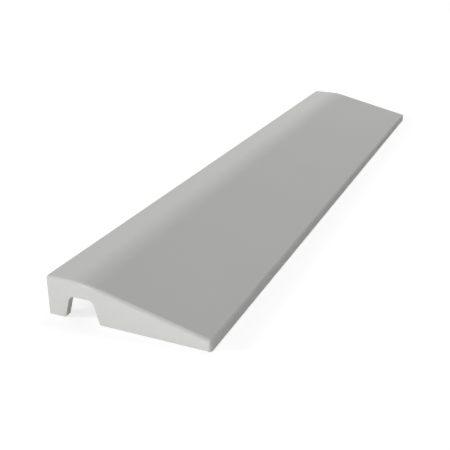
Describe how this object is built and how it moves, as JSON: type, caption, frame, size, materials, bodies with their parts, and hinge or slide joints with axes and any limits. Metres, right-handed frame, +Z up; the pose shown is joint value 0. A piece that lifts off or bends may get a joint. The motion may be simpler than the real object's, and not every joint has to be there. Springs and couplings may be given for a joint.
{
  "type": "cable protector ramp",
  "caption": "Straight drop-over ramp with a level tread, a long even slope to a thin lip and a cable channel along its tall back, hollow and ribbed below, on rubber pads.",
  "frame": {"origin": "on the floor, under the middle of the ramp's length and width", "axes": "+X across the ramp from its tall back to its thin lip, +Y along the ramp, +Z up"},
  "size_m": [0.197, 1, 0.0469],
  "materials": {
    "body_plastic": "satin light grey moulded plastic",
    "pad_rubber": "matt black rubber"
  },
  "bodies": {
    "root": {"ramp_body": "body_plastic", "rubber_pad_back_1": "pad_rubber", "rubber_pad_back_2": "pad_rubber", "rubber_pad_back_3": "pad_rubber", "rubber_pad_back_4": "pad_rubber", "rubber_pad_back_5": "pad_rubber", "rubber_pad_front_1": "pad_rubber", "rubber_pad_front_2": "pad_rubber", "rubber_pad_front_3": "pad_rubber", "rubber_pad_front_4": "pad_rubber", "rubber_pad_front_5": "pad_rubber"}
  },
  "joints": []
}
